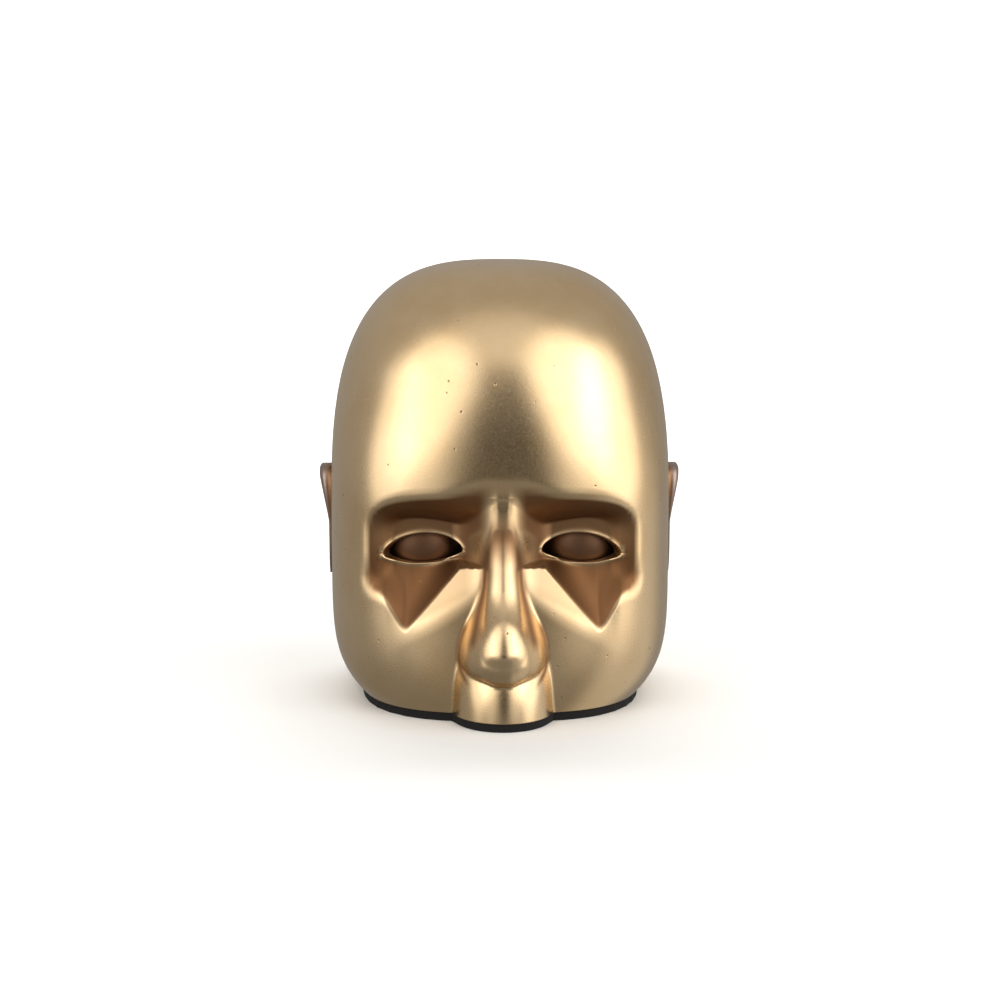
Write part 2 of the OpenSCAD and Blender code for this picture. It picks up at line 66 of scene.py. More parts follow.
REAR_LOW, REAR_HIGH = (np.array(corner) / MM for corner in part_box("rear_shell"))
EYE_LOW, EYE_HIGH = (np.array(corner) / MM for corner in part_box("right_eye"))
HALF_W = REAR_HIGH[0]
SEAM_Y = REAR_LOW[1]
REAR_D = REAR_HIGH[1] - SEAM_Y
HEAD_H = REAR_HIGH[2]
SHELL_Z = REAR_LOW[2]
MAX_F, MAX_X = -CAD_BOX[0][1] / MM, CAD_BOX[1][0] / MM
EYE_X = (EYE_LOW[0] + EYE_HIGH[0]) / 2
EYE_Z = (EYE_LOW[2] + EYE_HIGH[2]) / 2

FRONT_D = 47
WIDE_Z = 45
SQUARE_N, ROUND_N = 2.8, 2.3
DOME_N = 2.9
WIDTH_TAPER, FRONT_TAPER, REAR_TAPER, TAPER_N = 0.233, 0.05, 0.2, 6.6
CROWN_FLAT = 0.08
WALL = 2.4
REBATE_WALL, SEAT_W, SEAT_H = 1.2, 1.8, 1.2
PLATE_T = 3
GROOVE = 0.1
LID_T = 1.4
EYE_GAP = 0.15
LID_R = 13.5
LID_SKIRT = 12
EYE_INSET = 11.2
EYE_T = 1.5
EYE_SPAN = math.radians(64)
EYE_COVER = 1.4
LID_UP, LID_DOWN = 3.9, 2.5
BROW_Z, BROW_SIDE_Z = 53.2, 40
SOCKET_X = 31.8
SOCKET_D, ROOT_D = 11.5, 0.7
BROW_RISE, BROW_ROUND = 1.05, 1.0
BAG_Z, BAG_TURN = 27.5, 6.5
FOLD_X, FOLD_Z = 22.5, 21
CHEEK_FALL, CHEEK_TILT = 0.42, 0.24
ROOT_Z = 50
# Nose ridge: half-width, height, start, growth of the first two towards the tip, stop behind the tip,
# slopes under the tip and over the root
RIDGE_R, RIDGE_FLARE = 2.6, 3.1
RIDGE_H, RIDGE_SWELL = 3.4, 3.0
RIDGE_DROP, RIDGE_BACK = 3.5, 0.7
RIDGE_UNDER, RIDGE_OVER = 3, 1.2
# Tip and wings: place, half-width and height of each bulb, and its reach under and over the tip
TIP_Z, TIP_F, TIP_R = 16, 12.9, 6.3
TIP_H, TIP_UNDER, TIP_OVER = 6.6, 6, 11
WING_X, WING_F, WING_R = 9.4, 1.5, 4.2
WING_H, WING_UNDER, WING_OVER = 6, 5, 7.5
LIP_R, LIP_F, LIP_BACK = 11.9, 9.5, 6
LIP_BASE_Z, LIP_TOP_Z = 1, 24
NOSE_BASE_Z = 10.3
# Fillets where the forms of the face meet
LID_FILLET, LIP_FILLET, WING_FILLET = 1.0, 2, 7
RIDGE_FILLET, ROOT_FILLET = 0.8, 3.7
BULB_FILLET, TIP_FILLET, TIP_FILLET_X = 0.5, 5, 7
EAR_Z, EAR_H, EAR_W = 41, 13.6, 7.6
EAR_OUT, LOBE_OUT = 3.6, 0.7
EAR_SQUARE, EAR_TAPER, EAR_BACK = 3.2, 0.18, 2
SOLDER_FILM = 0.05

FACE_F = FRONT_D - SEAM_Y
FLOOR_F = FACE_F - SOCKET_D
SHELF_Z = EYE_Z - 2.8
LIP_CENTRE_F = FACE_F - LIP_BACK
EYE_CENTRE_F = FACE_F - EYE_INSET - LID_R
EYE_R = LID_R - LID_T - EYE_GAP
EYE_RIM_R = EYE_R * math.sin(EYE_SPAN)
EYE_LEN = 2 * (EYE_RIM_R - EYE_COVER)
EYE_IN_X = EYE_X - EYE_LEN / 2
EYE_OUT_X = EYE_X + EYE_LEN / 2
WING_TOP_Z = TIP_Z + 5

# ---- Surface rules, the same as the design's ----


def ramp(t):
    u = np.clip(t, 0, 1)
    return u * u * (3 - 2 * u)


def blend(a, b, k):
    """The larger of two heights, with a fillet of size k where they meet."""
    return np.maximum(a, b) + np.maximum(k - np.abs(a - b), 0) ** 2 / (4 * k)


def ball(u):
    """Height of a unit ball at distance u from its middle, falling steeply outside it."""
    return np.where(u < 0.94, np.sqrt(np.maximum(1 - u * u, 0)), 0.3412 - 2.755 * (u - 0.94))


def dome(z, off):
    t = np.maximum(z - WIDE_Z, 0) / (HEAD_H - WIDE_Z - off)
    return np.maximum(1 - t ** DOME_N, 0) ** (1 / DOME_N)


def low(z):
    return (np.maximum(WIDE_Z - z, 0) / WIDE_Z) ** TAPER_N


def flat(z):
    return 1 - CROWN_FLAT * (np.maximum(z - WIDE_Z, 0) / (HEAD_H - WIDE_Z)) ** 2


def width_at(z, off):
    return (HALF_W * (1 - WIDTH_TAPER * low(z)) - off) * dome(z, off)


def front_at(z, off):
    return (FRONT_D * (1 - FRONT_TAPER * low(z)) - off) * dome(z, off) * flat(z)


def rear_at(z, off):
    return (REAR_D * (1 - REAR_TAPER * low(z)) - off) * dome(z, off) * flat(z)


def squareness(z):
    """Exponent of the skull's outline, rounder towards the crown."""
    return SQUARE_N + (ROUND_N - SQUARE_N) * ramp((z - WIDE_Z - 5) / 30)


def side_ahead(a, n):
    """Side and forward parts of the skull's unit outline at angle a, where 0 faces forward."""
    s, c = np.abs(np.sin(a)), np.abs(np.cos(a))
    r = (s ** n + c ** n) ** (1 / n)
    return np.sign(np.sin(a)) * s / r, np.sign(np.cos(a)) * c / r


def angle_of(u):
    v = np.abs(u) ** SQUARE_N
    return np.sign(u) * np.arctan((v / np.maximum(1 - v, 1e-9)) ** (1 / SQUARE_N))


def inside_brow(x, z):
    """Distance inside the sockets' outline, which runs up their sides and turns level at the brow."""
    tall = BROW_Z - BROW_SIDE_Z
    u, v = x / SOCKET_X, np.maximum(z - BROW_SIDE_Z, 0) / tall
    r = np.maximum((u ** 4 + v ** 4) ** 0.25, 0.01)
    slope = np.hypot(u ** 3 / SOCKET_X, v ** 3 / tall) / r ** 3
    return (1 - r) / np.maximum(slope, 0.01)


def shelf_foot(x):
    """Height where the shelf under each eye starts: level under the eye, diagonal beside the nose."""
    fold = FOLD_Z + (SHELF_Z - FOLD_Z) * (FOLD_X - x) / (FOLD_X - EYE_IN_X)
    bag = BAG_Z - (BAG_Z - FOLD_Z) * ramp((FOLD_X + BAG_TURN - x) / BAG_TURN)
    return np.where(x < FOLD_X, np.minimum(fold, SHELF_Z - 0.5), bag)


def sunk_at(x, z, f, off):
    """The face sunk into the sockets: a slope under the brow, a shelf under the eye and a flat floor."""
    inside = inside_brow(x, z)
    cheek = blend(CHEEK_FALL * (np.minimum(z, SHELF_Z) - FOLD_Z) + CHEEK_TILT * (x - FOLD_X), 0, 1.5)
    cheek = cheek * (1 - ramp((x - 18) / 10)) * ramp(inside / 4) * (1 - ramp((z - EYE_Z - 2) / 8))
    soft = BROW_ROUND + 4 * (1 - ramp((x - 4) / 12)) + 2 * ramp((BROW_SIDE_Z - 1 - z) / 8)
    cut = blend(inside * BROW_RISE + off, 0, soft + off)
    root = f - ROOT_D
    floor = root + (FLOOR_F - off - root) * ramp((x - 1) / 11)
    foot = shelf_foot(x)
    t = np.clip((z - foot + 0.6 * off) / (SHELF_Z - foot), 0, 1)
    shelf = np.maximum(f - cheek - floor, 0) * (t + (ramp(t) - t) * ramp((x - FOLD_X + 1) / 4))
    return f - cheek + blend(-shelf, -cut, np.clip(cut, 0.05, 1.5))


def lids_at(x, z, off):
    r = LID_R - np.minimum(off, LID_T)
    u = np.hypot(x - EYE_X, z - EYE_Z) / r
    return EYE_CENTRE_F + r * (ball(u) - LID_SKIRT * np.maximum(u - 1, 0))


def ridge_at(x, z, off):
    t = np.clip((ROOT_Z - z) / (ROOT_Z - TIP_Z), 0, 1)
    r = RIDGE_R + RIDGE_FLARE * t - off / 2
    h = RIDGE_H + RIDGE_SWELL * t - off / 2
    f = FACE_F - ROOT_D - RIDGE_DROP + (TIP_F + ROOT_D + RIDGE_DROP - RIDGE_BACK) * t - off / 2
    past = RIDGE_UNDER * np.maximum(TIP_Z - z, 0) + RIDGE_OVER * np.maximum(z - ROOT_Z, 0)
    return f - h + h * ball(x / r) - past


def tip_at(x, z, off):
    r, tall = TIP_R - off, np.where(z > TIP_Z, TIP_OVER, TIP_UNDER) - off
    return FACE_F + TIP_F - TIP_H + (TIP_H - off) * ball(np.hypot(x / r, (z - TIP_Z) / tall))


def wing_at(x, z, off):
    r, tall = WING_R - off, np.where(z > TIP_Z, WING_OVER, WING_UNDER) - off
    u = np.hypot((x - WING_X + WING_R) / r, (z - TIP_Z) / tall)
    return FACE_F + WING_F + (WING_H - off) * ball(u)


def lip_at(x, z, off):
    rise = np.maximum(z - LIP_BASE_Z, 0) / (LIP_TOP_Z - LIP_BASE_Z - off)
    return LIP_CENTRE_F + (LIP_F + LIP_BACK - off) * (ball(x / (LIP_R - off)) - rise ** 3)


def face_forms(ax, z, f, off):
    """The forms of the face one over another: skin, nose ridge, lip and nose bulb."""
    skin = blend(sunk_at(ax, z, f, off), lids_at(ax, z, off), LID_FILLET)
    bulb = blend(tip_at(ax, z, off), wing_at(ax, z, off), WING_FILLET)
    return skin, ridge_at(ax, z, off), lip_at(ax, z, off), bulb


def face_at(x, z, f, off):
    """How far the face stands in front of the middle of the base, where the plain skull stands f."""
    ax = np.abs(x)
    skin, ridge, lip, bulb = face_forms(ax, z, f, off)
    mouth = blend(blend(skin, ridge, RIDGE_FILLET + ROOT_FILLET * ramp((z - 30) / 12)), lip, LIP_FILLET)
    soft = BULB_FILLET + TIP_FILLET * np.exp(-((ax / TIP_FILLET_X) ** 4)) * ramp((z - TIP_Z + 1) / 4)
    return blend(mouth, bulb, soft)


# ---- Lines that the face grid follows ----


def lid_lines(x):
    """Heights of the lower and the upper lid at x from the middle."""
    ax = np.abs(x)
    s = np.clip((ax - EYE_IN_X) / EYE_LEN, 0, 1)
    hump = (4 * s * (1 - s)) ** 0.75
    axis = EYE_Z - 0.1 - s
    blunt = 0.4 + 0.22 * np.maximum(np.maximum(EYE_IN_X - ax, ax - EYE_OUT_X), 0)
    return axis - blunt - LID_DOWN * hump, axis + blunt + LID_UP * hump


def brow_line(x):
    u = np.minimum(np.abs(x), 29) / SOCKET_X
    return BROW_SIDE_Z + (BROW_Z - BROW_SIDE_Z) * (1 - u ** 4) ** 0.25


def steps(a, b, n):
    """n even steps from a up to but not including b; a and b may be arrays."""
    t = np.arange(n) / n
    return np.asarray(a)[..., None] * (1 - t) + np.asarray(b)[..., None] * t


def dome_steps(a, n):
    """Heights from a along the dome to the crown, without a."""
    v = (np.maximum(np.asarray(a) - WIDE_Z, 0) / (HEAD_H - WIDE_Z)) ** DOME_N
    first = np.arctan((v / (1 - v)) ** (1 / DOME_N))
    b = first[..., None] + (np.pi / 2 - first[..., None]) * np.arange(1, n + 1) / n
    s, c = np.sin(b), np.cos(b)
    return WIDE_Z + (HEAD_H - WIDE_Z) * s / (s ** DOME_N + np.abs(c) ** DOME_N) ** (1 / DOME_N)


FINE = 4
FOOT_ROWS, NOSE_ROWS, CHEEK_ROWS, LID_ROWS, BROW_ROWS, DOME_ROWS = (n * FINE for n in (4, 8, 12, 4, 14, 18))
NOSE_COLS, LID_COLS, SIDE_COLS = (n * FINE for n in (9, 14, 9))


def face_rows(x):
    """Heights of the face grid's rows in columns that are x from the middle."""
    lower, upper = lid_lines(x)
    brow = brow_line(x)
    level = np.zeros_like(x)
    foot = SHELL_Z + (NOSE_BASE_Z - SHELL_Z) * (np.arange(FOOT_ROWS) / FOOT_ROWS) ** 1.4
    over = 1 - (1 - np.arange(BROW_ROWS) / BROW_ROWS) ** 1.5
    return np.concatenate([
        level[:, None] + foot,
        steps(level + NOSE_BASE_Z, level + WING_TOP_Z, NOSE_ROWS),
        steps(level + WING_TOP_Z, lower, CHEEK_ROWS),
        steps(lower, upper, LID_ROWS),
        upper[:, None] + (brow - upper)[:, None] * over,
        brow[:, None],
        dome_steps(brow, DOME_ROWS),
    ], axis=1)


def sheet_mesh(name, outer, inner, crown, opening=None, rim_rounds=4):
    """Closed wall between an outer and an inner grid of points (columns, rows, 3) with a crown each."""
    cols, rows, _ = outer.shape
    n = cols * rows
    verts = np.concatenate([outer.reshape(-1, 3), [crown[0]], inner.reshape(-1, 3), [crown[1]]])
    index = np.arange(n).reshape(cols, rows)
    keep = np.ones((cols - 1, rows - 1), bool)
    if opening is not None:
        keep &= ~opening
    quads = np.stack([index[:-1, :-1], index[1:, :-1], index[1:, 1:], index[:-1, 1:]], -1)[keep]
    top = [(int(index[i, -1]), int(index[i + 1, -1]), n) for i in range(cols - 1)]
    faces = [tuple(q) for q in quads.tolist()] + top
    faces += [tuple(n + 1 + v for v in reversed(f)) for f in faces]
    # Rims join outer to inner along every open edge, rounded in the middle
    used = {}
    for f in faces[: len(faces) // 2]:
        for a, b in zip(f, f[1:] + f[:1]):
            used[(a, b)] = used.get((a, b), 0) + 1
    edges = [(a, b) for a, b in used if (b, a) not in used]
    follow = dict(edges)
    extra = []
    while follow:
        start = next(iter(follow))
        loop = [start]
        while follow[loop[-1]] != start:
            loop.append(follow.pop(loop[-1]))
        follow.pop(loop[-1])
        ring = np.array(loop)
        out, back = verts[ring], verts[ring + n + 1]
        centre = out.mean(0)
        rings = [ring]
        for k in range(1, rim_rounds):
            t = k / rim_rounds
            swell = 0.16 * math.sin(math.pi * t) if opening is not None and len(loop) < cols else 0
            to_centre = centre - out
            to_centre /= np.linalg.norm(to_centre, axis=1, keepdims=True)
            extra.append(out * (1 - t) + back * t + to_centre * swell)
            first = len(verts) + sum(len(e) for e in extra[:-1])
            rings.append(first + np.arange(len(ring)))
        rings.append(ring + n + 1)
        for near, far in zip(rings, rings[1:]):
            for i in range(len(ring)):
                j = (i + 1) % len(ring)
                faces.append((int(near[j]), int(near[i]), int(far[i]), int(far[j])))
    verts = np.concatenate([verts] + extra) if extra else verts
    return mesh_object(name, verts, faces)


def mesh_object(name, verts, faces, smooth=True):
    mesh = bpy.data.meshes.new(name)
    mesh.from_pydata((np.asarray(verts) * MM).tolist(), [], faces)
    mesh.validate()
    mesh.polygons.foreach_set("use_smooth", [smooth] * len(mesh.polygons))
    obj = bpy.data.objects.new(name, mesh)
    bpy.context.scene.collection.objects.link(obj)
    return obj


# ---- Face ----


def lid_outline(n=160):
    """Points round the right eye's opening, as x and z."""
    x = EYE_IN_X + EYE_LEN * (1 - np.cos(np.linspace(0, np.pi, n))) / 2
    lower, upper = lid_lines(x)
    return np.concatenate([np.stack([x, lower], -1), np.stack([x, upper], -1)])


LID_OUTLINE = lid_outline()
LID_BEAD = 0.3


def lid_bead(x, z):
    """Burnished roll along the edge of each eye opening."""
    ax = np.abs(x)
    bead = np.zeros_like(ax)
    near = (np.abs(ax - EYE_X) < EYE_LEN) & (np.abs(z - EYE_Z) < EYE_LEN / 2)
    points = np.stack([ax[near], z[near]], -1)
    if len(points):
        gap = np.full(len(points), 99.0)
        for q in LID_OUTLINE:
            gap = np.minimum(gap, np.hypot(points[:, 0] - q[0], points[:, 1] - q[1]))
        bead[near] = LID_BEAD * np.exp(-((gap / 0.55) ** 2))
    return bead


def inner_rows(z):
    """Heights of the inner surface behind outer heights z, and how far inside the outer surface it lies.

    The rebate of the base plate and the ledge on the plate come first, then the wall."""
    ledge = SHELL_Z + PLATE_T
    seat = ledge + SEAT_H
    wall_z = seat + (NOSE_BASE_Z - seat) * np.arange(1, FOOT_ROWS - 3) / (FOOT_ROWS - 3)
    foot_z = np.concatenate([[SHELL_Z, ledge, ledge, seat], wall_z])
    over = REBATE_WALL + SEAT_W - WALL
    foot_off = np.concatenate([
        [REBATE_WALL] * 2, [REBATE_WALL + SEAT_W] * 2, WALL + over * np.maximum(1 - (wall_z - seat) / 2, 0)])
    z = np.where(z > WIDE_Z, WIDE_Z + (z - WIDE_Z) * (HEAD_H - WIDE_Z - WALL) / (HEAD_H - WIDE_Z), z)
    z[..., :FOOT_ROWS] = foot_z
    off = np.full(z.shape, WALL)
    off[..., :FOOT_ROWS] = foot_off
    return z, off


def seam_groove(x, y):
    """How far the shallow valley along the seam moves a point inwards, fading out at the crown."""
    return np.sign(x) * GROOVE * np.exp(-(((y - SEAM_Y) / 0.7) ** 2)) * ramp((np.abs(x) - 2) / 14)


def face_grid(inside):
    half = np.concatenate([
        angle_of(steps(0, EYE_IN_X, NOSE_COLS) / HALF_W),
        angle_of(steps(EYE_IN_X, EYE_OUT_X, LID_COLS) / HALF_W),
        steps(angle_of(EYE_OUT_X / HALF_W), np.pi / 2, SIDE_COLS),
        [np.pi / 2],
    ])
    angles = np.concatenate([-half[:0:-1], half])
    z = face_rows(HALF_W * side_ahead(angles, SQUARE_N)[0])[:, :-1]
    off = np.zeros(z.shape)
    if inside:
        z, off = inner_rows(z)
    # The rebate and the ledge are upright, so they take their outline from the foot of the shell
    shape_z = np.where(off > WALL, SHELL_Z, z)
    side, ahead = side_ahead(angles[:, None], squareness(shape_z))
    x = width_at(shape_z, off) * side
    f = face_at(x, shape_z, front_at(shape_z, off) * ahead - SEAM_Y, off)
    if not inside:
        f = np.minimum(f + lid_bead(x, z), MAX_F)
        x = x - seam_groove(x, -f)
    return np.stack([x, -f, z], -1)


def painted_shade_at(x, y, z):
    """Share of painted shade: most in the sockets, less beside the nose, a little over the cheeks as a
    painted warm reflection.
    """
    ax = np.abs(x)
    n = squareness(z)
    side = np.minimum(ax / np.maximum(width_at(z, 0), 0.01), 1)
    plain = front_at(z, 0) * (1 - side ** n) ** (1 / n) - SEAM_Y
    skin, ridge, _, bulb = face_forms(ax, z, plain, 0)
    above_fold = ramp((z - shelf_foot(ax) + 0.5) / 1.5)
    beside_root = ramp((ax - 5 + 3 * ramp((z - 42) / 4)) / 4)
    # Painted shade in the hollows, where the face sinks behind the plain skull; lighter beside the nose's
    # root.
    depth = ramp((plain + y - 0.1) / 0.9) * (z < 56)
    hollow = depth * (0.36 + (0.58 - 0.1 * ramp((z - 37) / 6)) * above_fold) * beside_root
    # Painted shade on the nose's flanks, dimming their reflections.
    flank = 0.85 * np.exp(-(((ridge - skin + 0.3) / 3.2) ** 2))
    flank = flank * ramp((z - 17) / 4) * (1 - ramp((z - 46) / 6))
    # Painted shade in the fold round the nose's wings.
    fold = 0.9 * np.exp(-(((bulb - np.maximum(skin, ridge) + 0.4) / 2) ** 2))
    fold = fold * ramp((ax - 7) / 2) * (1 - ramp((z - 22) / 4))
    beside_nose = np.where(ax < 13, np.maximum(flank, fold), 0)
    # Painted warm reflection over the brow and cheeks.
    painted_warm_reflection = 0.12 * np.exp(-(((z - 32) / 24) ** 2)) * (1 - ramp((ax - 28) / 10))
    # The lid edges keep almost no painted shade, so they stay bright.
    share = np.maximum(np.maximum(hollow, beside_nose), painted_warm_reflection) * (1 - 3 * lid_bead(x, z))
    return np.where((z < 80) & (y < SEAM_Y), share, 0)


def build_face():
    outer, inner = face_grid(False), face_grid(True)
    cols, rows, _ = outer.shape
    middle = (cols - 1) // 2
    i = np.arange(cols - 1)
    k = np.where(i < middle, middle - 1 - i, i - middle)
    is_lid = (k >= NOSE_COLS) & (k < NOSE_COLS + LID_COLS)
    j = np.arange(rows - 1)
    first = FOOT_ROWS + NOSE_ROWS + CHEEK_ROWS
    is_row = (j >= first) & (j < first + LID_ROWS)
    crown = [(0, SEAM_Y, HEAD_H), (0, SEAM_Y, HEAD_H - WALL)]
    obj = sheet_mesh("face_casting", outer, inner, crown, is_lid[:, None] & is_row[None, :])
    # Painted shade, kept on the points so the material darkens the sockets and beside the nose.
    points = np.array([v.co for v in obj.data.vertices]) / MM
    painted_shade = obj.data.attributes.new("painted_shade", "FLOAT", "POINT")
    painted_shade.data.foreach_set("value", painted_shade_at(*points.T).astype(np.float32))
    return obj


def rear_grid(inside):
    angles = np.linspace(np.pi / 2, 1.5 * np.pi, 28 * FINE + 1)
    z = np.concatenate([
        SHELL_Z + (NOSE_BASE_Z - SHELL_Z) * (np.arange(FOOT_ROWS) / FOOT_ROWS) ** 1.4,
        steps(NOSE_BASE_Z, WIDE_Z, 8 * FINE), [WIDE_Z], dome_steps(np.array(WIDE_Z), DOME_ROWS)[:-1],
    ])
    off = np.zeros(z.shape)
    if inside:
        z, off = inner_rows(z)
    shape_z = np.where(off > WALL, SHELL_Z, z)
    side, ahead = side_ahead(angles[:, None], squareness(shape_z))
    x = side * width_at(shape_z, off)
    y = SEAM_Y - ahead * rear_at(shape_z, off)
    if not inside:
        x = x - seam_groove(x, y)
    return np.stack([x, y, np.broadcast_to(z, x.shape)], -1)


def build_rear():
    crown = [(0, SEAM_Y, HEAD_H), (0, SEAM_Y, HEAD_H - WALL)]
    return sheet_mesh("rear_casting", rear_grid(False), rear_grid(True), crown)


# ---- Ears ----


def side_x(y, z):
    d = np.where(y < SEAM_Y, front_at(z, 0), rear_at(z, 0))
    n = squareness(z)
    return width_at(z, 0) * (1 - (np.abs(y - SEAM_Y) / d) ** n) ** (1 / n)


def build_ear(name, side):
    t = np.linspace(0, 2 * np.pi, 28 * FINE, endpoint=False)
    q = np.concatenate([np.linspace(0.02, 0.88, 9 * FINE), np.linspace(0.9, 1, 3 * FINE)])
    s, c = np.sin(t), np.cos(t)
    r = (np.abs(s) ** EAR_SQUARE + np.abs(c) ** EAR_SQUARE) ** (1 / EAR_SQUARE)
    edge_y = EAR_W * (1 - EAR_TAPER + EAR_TAPER * s) * c / r
    edge_z = EAR_H * s / r
    y = SEAM_Y + EAR_BACK + q[:, None] * edge_y
    z = EAR_Z + q[:, None] * edge_z
    rim = LOBE_OUT + (EAR_OUT - LOBE_OUT) * np.maximum(edge_z / EAR_H, 0) * (0.85 + 0.15 * c)
    roll = np.where(q < 0.9, ramp((q - 0.45) / 0.35), 1 - 25 * (q - 0.9) ** 2)[:, None]
    relief = LOBE_OUT * 0.7 + (rim - LOBE_OUT * 0.7) * roll
    base = side_x(y, z) + SOLDER_FILM
    outer = np.stack([side * np.minimum(base + relief, MAX_X), y, z], -1)
    inner = np.stack([side * base, y, z], -1)
    rings, around, _ = outer.shape
    n = rings * around
    verts = np.concatenate([outer.reshape(-1, 3), inner.reshape(-1, 3)])
    faces = []
    for i in range(around):
        k = (i + 1) % around
        for a in range(0, n - around, around):
            b = a + around
            faces.append((a + i, a + k, b + k, b + i))
            faces.append((n + a + i, n + b + i, n + b + k, n + a + k))
        last = (rings - 1) * around
        faces.append((last + i, last + k, n + last + k, n + last + i))
    faces.append(tuple(range(around))[::-1])
    faces.append(tuple(n + i for i in range(around)))
    if side > 0:
        faces = [f[::-1] for f in faces]
    return mesh_object(name, verts, [f[::-1] for f in faces])


# ---- Eyes ----


def build_eye(name, side):
    """Domed cup behind the lids."""
    around = 48 * FINE // 2
    rings = 12 * FINE
    theta = np.linspace(0.001, EYE_SPAN, rings)
    phi = np.linspace(0, 2 * np.pi, around, endpoint=False)

    def cap(radius):
        x = radius * np.sin(theta)[:, None] * np.cos(phi) + side * EYE_X
        z = radius * np.sin(theta)[:, None] * np.sin(phi) + EYE_Z
        y = -(EYE_CENTRE_F + radius * np.cos(theta)[:, None] + 0 * phi)
        return np.stack([x, y, z], -1).reshape(-1, 3)

    n = rings * around
    verts = np.concatenate([cap(EYE_R), cap(EYE_R - EYE_T)])
    faces = []
    for i in range(around):
        k = (i + 1) % around
        for a in range(0, n - around, around):
            b = a + around
            faces.append((a + i, b + i, b + k, a + k))
            faces.append((n + a + i, n + a + k, n + b + k, n + b + i))
        last = (rings - 1) * around
        faces.append((last + i, n + last + i, n + last + k, last + k))
    faces.append(tuple(range(around)))
    faces.append(tuple(n + i for i in range(around))[::-1])
    return mesh_object(name, verts, faces)


# ---- Materials ----

# Colour of the painted shade in the sockets and beside the nose, and the roughness it adds.
PAINTED_SHADE_COLOUR = (0.19, 0.079, 0.029)
PAINTED_SHADE_ROUGH = 0.3


def node_tree(name):
    mat = bpy.data.materials.new(name)
    mat.use_nodes = True
    tree = mat.node_tree
    return mat, tree, tree.nodes["Principled BSDF"]


def add(tree, kind, **sockets):
    node = tree.nodes.new(kind)
    for key, value in sockets.items():
        node.inputs[key.replace("_", " ")].default_value = value
    return node


def metal(name, base, dark, rough, grain=0.016, pits=0.5):
    """Cast metal with a fine satin grain, cloudy tarnish, small pits and painted shade from the mesh's
    attribute.
    """
    mat, tree, shader = node_tree(name)
    link = tree.links.new
    coords = tree.nodes.new("ShaderNodeTexCoord").outputs["Object"]
    shader.inputs["Metallic"].default_value = 1.0

    cloud = add(tree, "ShaderNodeTexNoise", Scale=45.0, Detail=5.0, Roughness=0.6)
    link(coords, cloud.inputs["Vector"])
    tint = tree.nodes.new("ShaderNodeValToRGB")
    tint.color_ramp.elements[0].position = 0.3
    tint.color_ramp.elements[0].color = (*dark, 1)
    tint.color_ramp.elements[1].position = 0.62
    tint.color_ramp.elements[1].color = (*base, 1)
    link(cloud.outputs["Fac"], tint.inputs["Fac"])

    grit = add(tree, "ShaderNodeTexNoise", Scale=1600.0, Detail=3.0, Roughness=0.7)
    link(coords, grit.inputs["Vector"])
    spots = add(tree, "ShaderNodeTexVoronoi", Scale=190.0)
    link(coords, spots.inputs["Vector"])
    pit = tree.nodes.new("ShaderNodeMapRange")
    pit.inputs["From Min"].default_value = 0.02
    pit.inputs["From Max"].default_value = 0.07
    link(spots.outputs["Distance"], pit.inputs["Value"])

    # Painted shade: a mesh attribute mixes the colour towards dark brown in the sockets and beside the nose.
    shaded = tree.nodes.new("ShaderNodeMix")
    shaded.data_type = "RGBA"
    shade_mask = tree.nodes.new("ShaderNodeAttribute")
    shade_mask.attribute_name = "painted_shade"
    link(shade_mask.outputs["Fac"], shaded.inputs["Factor"])
    link(tint.outputs["Color"], shaded.inputs[6])
    shaded.inputs[7].default_value = (*PAINTED_SHADE_COLOUR, 1)

    colour = tree.nodes.new("ShaderNodeMix")
    colour.data_type = "RGBA"
    link(pit.outputs["Result"], colour.inputs["Factor"])
    colour.inputs[6].default_value = (dark[0] * 0.4, dark[1] * 0.35, dark[2] * 0.3, 1)
    link(shaded.outputs[2], colour.inputs[7])
    link(colour.outputs[2], shader.inputs["Base Color"])

    gloss = tree.nodes.new("ShaderNodeMapRange")
    gloss.inputs["To Min"].default_value = rough - 0.05
    gloss.inputs["To Max"].default_value = rough + 0.07
    link(grit.outputs["Fac"], gloss.inputs["Value"])
    # The painted shade also makes the surface rougher.
    duller = tree.nodes.new("ShaderNodeMath")
    duller.operation = "MULTIPLY_ADD"
    link(shade_mask.outputs["Fac"], duller.inputs[0])
    duller.inputs[1].default_value = PAINTED_SHADE_ROUGH
    link(gloss.outputs["Result"], duller.inputs[2])
    link(duller.outputs["Value"], shader.inputs["Roughness"])

    bump = add(tree, "ShaderNodeBump", Strength=grain * 10, Distance=0.00005)
    link(grit.outputs["Fac"], bump.inputs["Height"])
    dent = add(tree, "ShaderNodeBump", Strength=pits, Distance=0.0001)
    link(pit.outputs["Result"], dent.inputs["Height"])
    link(bump.outputs["Normal"], dent.inputs["Normal"])
    link(dent.outputs["Normal"], shader.inputs["Normal"])
    return mat


